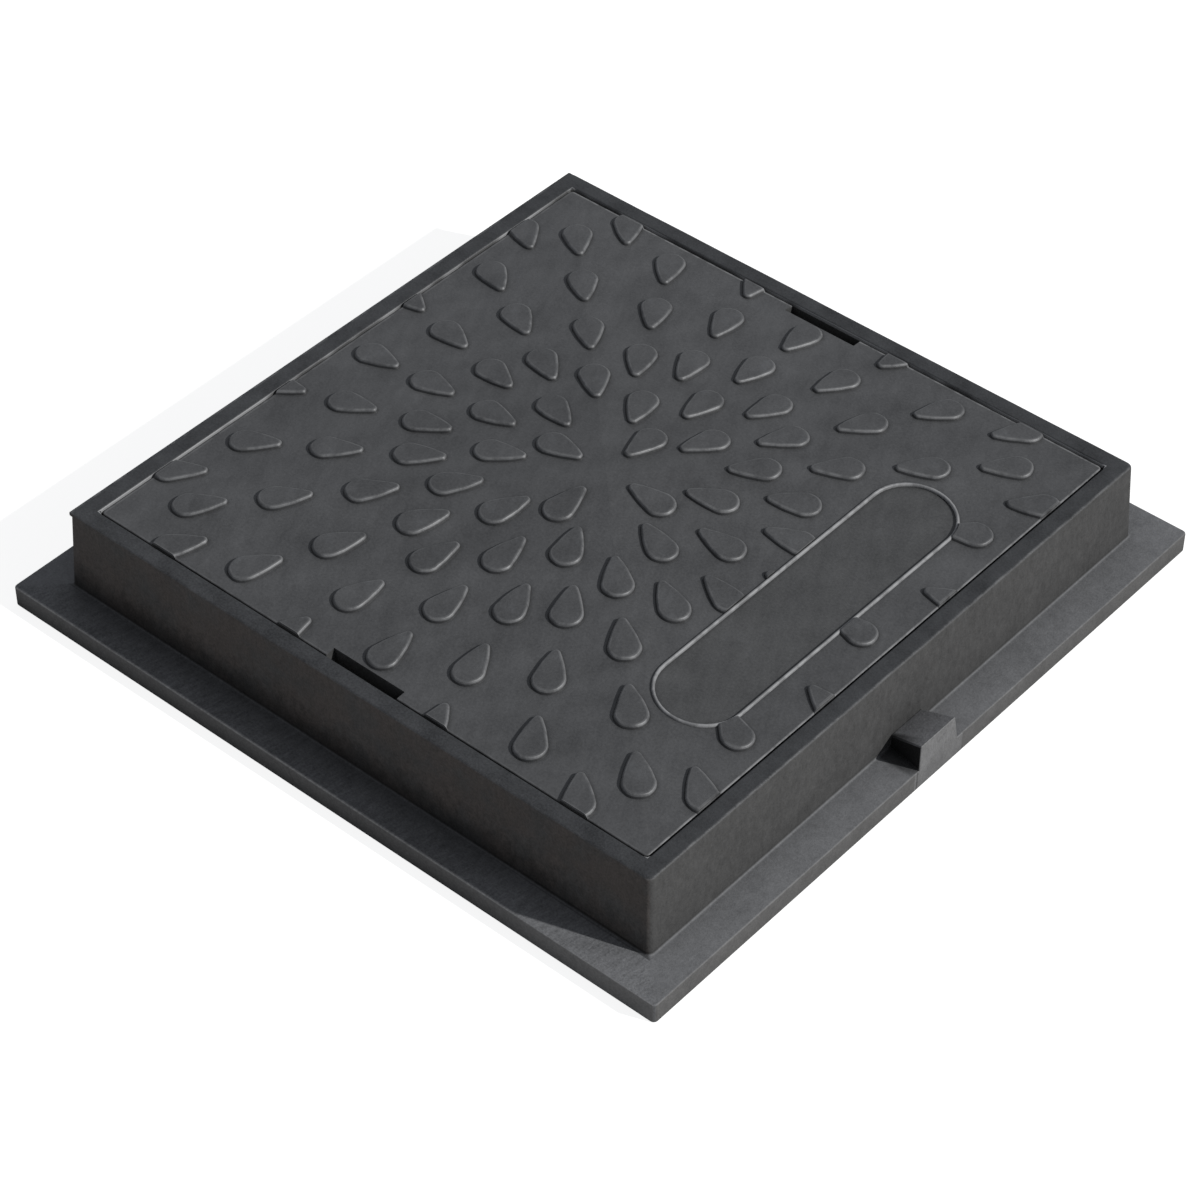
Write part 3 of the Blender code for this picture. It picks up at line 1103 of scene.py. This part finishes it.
# --- the lid
@dataclass(frozen=True)
class BadgePanel:
    """Blank sunk panel with round ends, inside a raised bead."""

    sizes: CoverSizes
    width: float = 0.0725
    side_margin: float = 0.036
    end_margin: float = 0.109
    sink: float = 0.0008
    bead_width: float = 0.0028
    bead_height: float = 0.0018
    bead_steps: int = 14
    arc_steps: int = 20

    @property
    def centre_x(self) -> float:
        """Middle of the panel along X."""
        return self.sizes.lid_half - self.side_margin - self.width / 2

    def outline(self, inset: float) -> list[Vector]:
        """The panel's outline, anticlockwise.

        Args:
            inset: How far it is drawn in.

        Returns:
            Its points.
        """
        radius = self.width / 2 - inset
        reach = self.sizes.lid_half - self.end_margin - self.width / 2
        points = []
        for side in (1, -1):
            for step in range(self.arc_steps + 1):
                angle = math.pi * step / self.arc_steps
                points.append(Vector((self.centre_x + side * radius * math.cos(angle),
                                      side * (reach + radius * math.sin(angle)), 0.0)))
        return points

    def slab(self, name: str, inset: float, low: float, high: float) -> Object:
        """Make a helper solid in the panel's outline.

        Args:
            name: The object's name.
            inset: How far the outline is drawn in.
            low: Its underside, above the lid's face.
            high: Its top, the same way.

        Returns:
            The solid.
        """
        on_face = [point + Vector((0.0, 0.0, self.sizes.face_z(point.x, 0.0)))
                   for point in self.outline(inset)]
        return prism(name, lifted(on_face, low), lifted(on_face, high))

    @staticmethod
    def bead_tree() -> GeometryTree:
        """A flat oval section swept round a closed line and laid on the lid's face.

        Returns:
            The tree.
        """
        tree = GeometryTree("bead_round_panel", {
            "Bead Width": "Length", "Bead Height": "Length", "Section Steps": "Count"})
        path = tree.wire("GeometryNodeMeshToCurve", sockets={"Mesh": tree.given("Geometry")})
        level = tree.wire("GeometryNodeSetCurveNormal", {"mode": "Z_UP"}, {"Curve": path})
        ring = tree.wire("GeometryNodeCurvePrimitiveCircle", sockets={
            "Resolution": tree.given("Section Steps"), "Radius": 1.0})
        oval = tree.wire("GeometryNodeTransform", sockets={
            "Geometry": ring, "Scale": tree.vector(
                tree.given("Bead Width") * 0.5, tree.given("Bead Height"), 1.0)})
        tree.close(tree.draped(tree.wire("GeometryNodeCurveToMesh", sockets={
            "Curve": level, "Profile Curve": oval})))
        return tree

    def build_bead(self, finish: Material) -> Object:
        """Make the bead.

        Args:
            finish: Its material.

        Returns:
            The piece.
        """
        bm = bmesh.new()
        verts = [bm.verts.new(point) for point in self.outline(self.bead_width / 2)]
        for first, second in zip(verts, verts[1:] + verts[:1]):
            bm.edges.new((first, second))
        bead_piece = to_object(bm, "badge_bead")
        self.bead_tree().apply(bead_piece, self.sizes, finish, {
            "Bead Width": self.bead_width, "Bead Height": self.bead_height,
            "Section Steps": self.bead_steps})
        finish_shading(bead_piece, 60.0)
        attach(bead_piece, "lid_body")
        return bead_piece


@dataclass(frozen=True)
class StudRing:
    """Studs at one distance from the centre, repeated in each quarter turn.

    share is that distance as a part of half the lid's side, and angles are in degrees.
    """

    share: float
    angles: tuple[float, ...]


@dataclass
class TreadStuds:
    """Drop-shaped studs on rings round the centre, each with its small end inwards."""

    sizes: CoverSizes
    panel: BadgePanel
    height: float = 0.0031
    length: float = 0.0426
    heel_radius: float = 0.0130
    tip_radius: float = 0.0044
    spread: float = 0.0006
    side_bulge: float = 0.0007
    flank: float = 0.0021
    sink: float = 0.0015
    dome: float = 0.00025
    edge_inset: float = 0.0003
    centre_x: float = -0.0004
    unevenness: float = 0.0013
    unevenness_size: float = 0.012
    heel_steps: int = 14
    side_steps: int = 4
    tip_steps: int = 6
    rings: tuple[StudRing, ...] = field(default=(
        StudRing(0.168, (0.0,)),
        StudRing(0.314, (22.5, 67.5)),
        StudRing(0.421, (0.0, 45.0)),
        StudRing(0.566, (15.0, 75.0)),
        StudRing(0.536, (30.0, 60.0)),
        StudRing(0.658, (0.0,)),
        StudRing(0.657, (45.0,)),
        StudRing(0.810, (15.0, 75.0)),
        StudRing(0.779, (30.0, 60.0)),
        StudRing(0.880, (0.0,)),
        StudRing(0.900, (45.0,)),
        StudRing(1.044, (15.0, 75.0)),
        StudRing(1.018, (30.0, 60.0)),
        StudRing(1.140, (45.0,)),
        StudRing(1.205, (37.5, 52.5)),
    ))

    def outline(self, inset: float) -> list[Vector]:
        """A drop's outline, its small end towards -X.

        Args:
            inset: How far it is drawn in.

        Returns:
            Its points.
        """
        heel_x = self.length / 2 - self.heel_radius
        tip_x = self.tip_radius - self.length / 2
        side = math.acos((self.tip_radius - self.heel_radius) / (heel_x - tip_x))
        heel, tip = self.heel_radius - inset, self.tip_radius - inset
        points = []
        for step in range(self.heel_steps + 1):
            angle = -side + 2 * side * step / self.heel_steps
            points.append(Vector((heel_x + heel * math.cos(angle), heel * math.sin(angle), 0.0)))
        for step in range(self.tip_steps + 1):
            angle = side + 2 * (math.pi - side) * step / self.tip_steps
            points.append(Vector((tip_x + tip * math.cos(angle), tip * math.sin(angle), 0.0)))
        last_heel, first_tip = points[self.heel_steps], points[self.heel_steps + 1]
        outwards = Vector((math.cos(side), math.sin(side), 0.0))
        flank = []
        for step in range(1, self.side_steps):
            share = step / self.side_steps
            flank.append(last_heel.lerp(first_tip, share)
                         + outwards * self.side_bulge * math.sin(math.pi * share))
        other = [Vector((point.x, -point.y, 0.0)) for point in reversed(flank)]
        return points[:self.heel_steps + 1] + flank + points[self.heel_steps + 1:] + other

    def levels(self) -> list[tuple[float, float]]:
        """The loops of a stud, from its buried foot to its top.

        Returns:
            The inset and height of each.
        """
        run = [(0.0, -self.sink), (0.0, 0.0), (0.42, self.height * 0.50),
               (0.72, self.height * 0.80), (0.96, self.height * 0.96), (1.18, self.height),
               (1.75, self.height + self.dome)]
        return [(share * self.flank - self.spread, z) for share, z in run]

    def pattern(self) -> Object:
        """Make one stud round its own middle, with a fold along its axis.

        Returns:
            The solid.
        """
        bm = bmesh.new()
        rows = loft(bm, [lifted(self.outline(inset), z) for inset, z in self.levels()])
        for row in (rows[0], rows[-1]):
            self.cap(bm, row)
        return to_object(bm, "stud_pattern")

    def cap(self, bm: BMesh, row: Sequence[BMVert]) -> None:
        """Close a loop with two faces that meet along the drop's axis.

        Args:
            bm: The stud's mesh.
            row: The loop's vertices.
        """
        heel = self.heel_steps // 2
        tip = self.heel_steps + self.side_steps + self.tip_steps // 2
        bm.faces.new(row[heel:tip + 1])
        bm.faces.new([*row[tip:], *row[:heel + 1]])

    def inside(self) -> Object:
        """Make a helper solid over the lid's face, in which the studs are kept.

        Returns:
            The solid.
        """
        square = square_loop(self.sizes.lid_half - self.edge_inset, 0.003, 4, 1)
        return prism("stud_inside", lifted(square, self.sizes.face_edge_z - 0.010),
                     lifted(square, self.sizes.face_peak_z + 0.020))

    def places(self) -> Object:
        """A point for each stud, with its turn about Z.

        Returns:
            The points.
        """
        mesh = bpy.data.meshes.new("tread_studs")
        spots, turns = [], []
        for ring in self.rings:
            for quarter in range(4):
                for angle in ring.angles:
                    around = math.radians(angle + 90.0 * quarter)
                    radius = ring.share * self.sizes.lid_half
                    spots.append((self.centre_x + radius * math.cos(around),
                                  radius * math.sin(around), 0.0))
                    turns.append(around)
        mesh.from_pydata(spots, [], [])
        mesh.attributes.new("turn", "FLOAT", "POINT").data.foreach_set("value", turns)
        return linked("tread_studs", mesh)

    @staticmethod
    def tree() -> GeometryTree:
        """Studs on points, each a little uneven, cut off at the lid's edges and the panel.

        Returns:
            The tree.
        """
        tree = GeometryTree("studs_on_rings", {
            "Stud": "Object", "Inside": "Object", "Panel": "Object",
            "Unevenness": "Length", "Unevenness Size": "Length"})
        turn = tree.wire("GeometryNodeInputNamedAttribute", {"data_type": "FLOAT"},
                         {"Name": "turn"})
        turned = tree.wire("FunctionNodeEulerToRotation", sockets={0: tree.vector(z=turn)})
        studs = tree.repeated(tree.given("Geometry"), "Stud", "Rotation", turned)
        wander = tree.wire("ShaderNodeTexNoise", {"noise_dimensions": "3D"}, {
            "Vector": tree.position, "Detail": 1.0,
            "Scale": tree.math("DIVIDE", 1.0, tree.given("Unevenness Size"))}, "Color")
        drift = tree.vector_math("SUBTRACT", wander, (0.5, 0.5, 0.5))
        drift = tree.vector_math("SCALE", drift, tree.given("Unevenness"), "Scale")
        uneven = tree.moved(studs, tree.vector_math("MULTIPLY", drift, (1.0, 1.0, 0.0)))
        within = tree.combined(Cut.INSIDE,
                               {"Mesh 2": [tree.draped(uneven), tree.solid("Inside")]})
        tree.close(tree.combined(Cut.AWAY, {"Mesh 1": within, "Mesh 2": tree.solid("Panel")}))
        return tree

    def build(self, finish: Material) -> Object:
        """Make every stud.

        Args:
            finish: Their material.

        Returns:
            The piece.
        """
        studs_piece = self.places()
        solids = {"Stud": self.pattern(), "Inside": self.inside(),
                  "Panel": self.panel.slab("stud_limit", 0.0, -0.010, 0.010)}
        self.tree().apply(studs_piece, self.sizes, finish, {
            **solids, "Unevenness": self.unevenness,
            "Unevenness Size": self.unevenness_size})
        discard(*solids.values())
        finish_shading(studs_piece, 40.0)
        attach(studs_piece, "lid_body")
        return studs_piece


@dataclass
class LidPlate:
    """Crowned plate with its skirt, lifting notches, panel recess and ribbed underside."""

    sizes: CoverSizes
    panel: BadgePanel
    foot_inset: float = 0.0019
    corner_radius: float = 0.0035
    skirt_width: float = 0.018
    plate_thickness: float = 0.020
    rib_thickness: float = 0.008
    cells_per_side: int = 8
    cell_draft: float = 0.0015
    cell_corner: float = 0.004
    notch_length: float = 0.071
    notch_reach: float = 0.0085
    notch_depth: float = 0.036
    notch_end_slope: float = 0.003
    rest_offset: float = 0.0013     # how much closer its -X side lies to the pocket's wall
    back_offset: float = 0.0008     # the same for its +Y side

    def block(self) -> Object:
        """Make the plain lid: a four-sided crown over tapered sides.

        Returns:
            The lid.
        """
        sizes = self.sizes
        foot_half = sizes.lid_half - self.foot_inset
        edge = Turn(sizes.lid_half, sizes.face_edge_z, 0.0015, self.corner_radius)
        section = eased([
            Turn(0.0, sizes.face_peak_z), edge,
            Turn(foot_half, sizes.lid_foot_z, 0.0012, self.corner_radius),
            Turn(0.0, sizes.lid_foot_z),
        ])[1:-1]
        bm = bmesh.new()
        loops = [lifted(square_loop(turn.half, turn.plan, 4, 1), turn.z) for turn in section]
        for point in (point for loop in loops for point in loop):
            if point.x < self.corner_radius - foot_half:
                point.x -= self.rest_offset
            if point.y > foot_half - self.corner_radius:
                point.y += self.back_offset
        rows = loft(bm, loops)
        peak = bm.verts.new((0.0, 0.0, sizes.face_peak_z))
        top = rows[0]
        for index in range(len(top)):
            bm.faces.new((top[index], top[(index + 1) % len(top)], peak))
        bm.faces.new(rows[-1])
        return to_object(bm, "lid_plate")

    def notch(self, side: NotchSide) -> Object:
        """Make a helper solid that opens the lid's edge, its ends splayed towards the face.

        Args:
            side: The side.

        Returns:
            The solid.
        """
        sizes = self.sizes

        def place(signs: Vector) -> Vector:
            """A corner's place from its signs."""
            half = self.notch_length / 2 - (self.notch_end_slope if signs.z < 0 else 0.0)
            outer = signs.y * side.value > 0
            return Vector((
                signs.x * half,
                side.value * (sizes.lid_half + 0.010 if outer
                              else sizes.lid_half - self.notch_reach),
                sizes.face_edge_z + (0.0135 if signs.z > 0 else -self.notch_depth)))

        bm = bmesh.new()
        add_block(bm, place)
        return to_object(bm, f"notch_{side.name.lower()}")

    def cell(self) -> Object:
        """Make a helper solid for one pocket between ribs, one unit high.

        Returns:
            The solid.
        """
        mouth = self.cell_pitch() - self.rib_thickness

        def place(signs: Vector) -> Vector:
            """A corner's place from its signs."""
            half = mouth / 2 - (self.cell_draft if signs.z > 0 else 0.0)
            return Vector((signs.x * half, signs.y * half, 1.0 if signs.z > 0 else -0.1))

        bm = bmesh.new()
        add_block(bm, place)
        upright = [edge for edge in bm.edges
                   if abs(edge.verts[0].co.z - edge.verts[1].co.z) > 0.5]
        bmesh.ops.bevel(bm, geom=upright, offset=self.cell_corner, segments=3, profile=0.5,
                        affect="EDGES")
        return to_object(bm, "rib_cell")

    def cell_pitch(self) -> float:
        """Distance between the middles of two pockets."""
        across = 2 * (self.sizes.lid_half - self.foot_inset - self.skirt_width)
        return (across + self.rib_thickness) / self.cells_per_side

    def opened(self) -> Object:
        """Make the lid and cut its notches and the panel's recess.

        Returns:
            The lid.
        """
        plate = self.block()
        tools = [self.notch(side) for side in NotchSide]
        tools.append(self.panel.slab("panel_recess", self.panel.bead_width * 0.5,
                                     -self.panel.sink, 0.010))
        for tool in tools:
            cut(plate, tool, Cut.AWAY)
        settle(plate)
        discard(*tools)
        return plate

    @staticmethod
    def pocket_tree() -> GeometryTree:
        """A grid of pockets cut from below, each as deep as the plate over it allows.

        Returns:
            The tree.
        """
        tree = GeometryTree("pockets_between_ribs", {
            "Pocket": "Object", "Pitch": "Length", "Pockets Per Side": "Count",
            "Foot": "Length", "Plate": "Length"})
        count, pitch, foot = (tree.given(title) for title in (
            "Pockets Per Side", "Pitch", "Foot"))
        across = pitch * (count - 1.0)
        grid = tree.wire("GeometryNodeMeshGrid", sockets={
            "Size X": across, "Size Y": across, "Vertices X": count, "Vertices Y": count})
        depth = tree.face_height(pitch * 0.5) - tree.given("Plate") - foot
        pockets = tree.repeated(tree.moved(grid, tree.vector(z=foot)), "Pocket", "Scale",
                                tree.vector(1.0, 1.0, depth))
        tree.close(tree.combined(Cut.AWAY,
                                 {"Mesh 1": tree.given("Geometry"), "Mesh 2": pockets}))
        return tree

    def build(self, finish: Material) -> Object:
        """Make the plate and hang it on the lid's body.

        Args:
            finish: Its material.

        Returns:
            The piece.
        """
        plate, cell = self.opened(), self.cell()
        self.pocket_tree().apply(plate, self.sizes, finish, {
            "Pocket": cell, "Pitch": self.cell_pitch(), "Foot": self.sizes.lid_foot_z,
            "Pockets Per Side": self.cells_per_side, "Plate": self.plate_thickness})
        discard(cell)
        finish_shading(plate)
        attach(plate, "lid_body")
        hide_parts("lid")
        return plate


# --- the studio
def bearing(azimuth: float, elevation: float) -> Vector:
    """Direction at an azimuth from +X towards +Y and an elevation, both in degrees."""
    return Euler((0.0, -math.radians(elevation), math.radians(azimuth))).to_matrix().col[0]


@dataclass
class Studio:
    """Pale floor, daylight-like key light, soft fill and the camera."""

    floor_half: float = 9.0
    key_azimuth: float = 20.5       # from +X towards +Y, in degrees
    key_elevation: float = 36.0
    key_strength: float = 3.6
    key_width: float = 1.2          # in degrees
    fill: Colour = (0.310, 0.325, 0.355)
    floor_colour: Colour = (0.34, 0.335, 0.325)
    floor_glow: Colour = (0.84, 0.84, 0.84)
    target: tuple[float, float, float] = (0.0565, -0.0721, 0.060)
    distance: float = 2.6904
    azimuth: float = 40.638         # of the camera, from -Y towards +X, in degrees
    elevation: float = 42.902
    roll: float = 0.294
    lens: float = 108.74
    sensor: float = 36.0

    def build_floor(self) -> Object:
        """Lay the floor, which gives back a little light of its own.

        Returns:
            The floor.
        """
        bm = bmesh.new()
        bmesh.ops.create_grid(bm, x_segments=1, y_segments=1, size=self.floor_half)
        floor = to_object(bm, "floor")
        floor.location.z = -0.0002
        material = bpy.data.materials.new("pale_floor")
        material.use_nodes = True
        surface = material.node_tree.nodes["Principled BSDF"]
        for title, value in {
                "Base Color": (*self.floor_colour, 1.0), "Roughness": 1.0,
                "Specular IOR Level": 0.0, "Emission Color": (*self.floor_glow, 1.0),
                "Emission Strength": 1.0}.items():
            surface.inputs[title].default_value = value
        floor.data.materials.append(material)
        return floor

    def keep_glow_off(self, floor: Object, pieces: Sequence[Object]) -> None:
        """Stop the floor's own light from reaching the pieces.

        Args:
            floor: The floor.
            pieces: The cover's pieces.
        """
        away = bpy.data.collections.new("away_from_floor_glow")
        for piece in pieces:
            away.objects.link(piece)
        for entry in away.collection_objects:
            entry.light_linking.link_state = "EXCLUDE"
        floor.light_linking.receiver_collection = away

    def build_light(self) -> None:
        """Hang the key light and set the soft fill from all round."""
        lamp = bpy.data.lights.new("key", "SUN")
        lamp.energy = self.key_strength
        lamp.angle = math.radians(self.key_width)
        key = linked("key", lamp)
        towards = bearing(self.key_azimuth, self.key_elevation)
        key.rotation_euler = towards.to_track_quat("Z", "Y").to_euler()
        key.location = towards * 3.0
        world = bpy.data.worlds.new("fill")
        world.use_nodes = True
        world.node_tree.nodes["Background"].inputs["Color"].default_value = (*self.fill, 1.0)
        bpy.context.scene.world = world

    def build_camera(self) -> None:
        """Set up the camera on its orbit round the target."""
        lens = bpy.data.cameras.new("camera")
        lens.lens = self.lens
        lens.sensor_width = self.sensor
        lens.clip_end = 60.0
        camera = linked("camera", lens)
        away = bearing(self.azimuth - 90.0, self.elevation)
        turn = away.to_track_quat("Z", "Y").to_matrix().to_4x4()
        roll = Matrix.Rotation(math.radians(self.roll), 4, "Z")
        place = Vector(self.target) + away * self.distance
        camera.matrix_world = Matrix.Translation(place) @ turn @ roll
        bpy.context.scene.camera = camera

    def build(self, pieces: Sequence[Object]) -> None:
        """Set up the whole studio round the cover's pieces.

        Args:
            pieces: The pieces.
        """
        self.keep_glow_off(self.build_floor(), pieces)
        self.build_light()
        self.build_camera()
        bpy.context.scene.view_settings.view_transform = "Standard"


def main() -> None:
    """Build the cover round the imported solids, then the studio."""
    logging.basicConfig(level=logging.INFO, format="%(name)s %(message)s")
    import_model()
    sizes = CoverSizes.measured()
    panel = BadgePanel(sizes)
    studs = TreadStuds(sizes, panel)
    frame_finish = FrameFinish(sizes).build()
    lid_finish = LidFinish(sizes, studs.height).build()
    # the bead's finish: wear and painted highlight
    wear_and_highlight_finish = LidFinish(sizes, studs.height, wear_and_highlight=True).build()
    pieces = [FrameShell(sizes).build(frame_finish), LidPlate(sizes, panel).build(lid_finish),
              studs.build(lid_finish), panel.build_bead(wear_and_highlight_finish)]
    for piece in pieces:
        LOG.info("%s: %d faces", piece.name, len(piece.data.polygons))
    Studio().build(pieces)


if __name__ == "__main__":
    main()
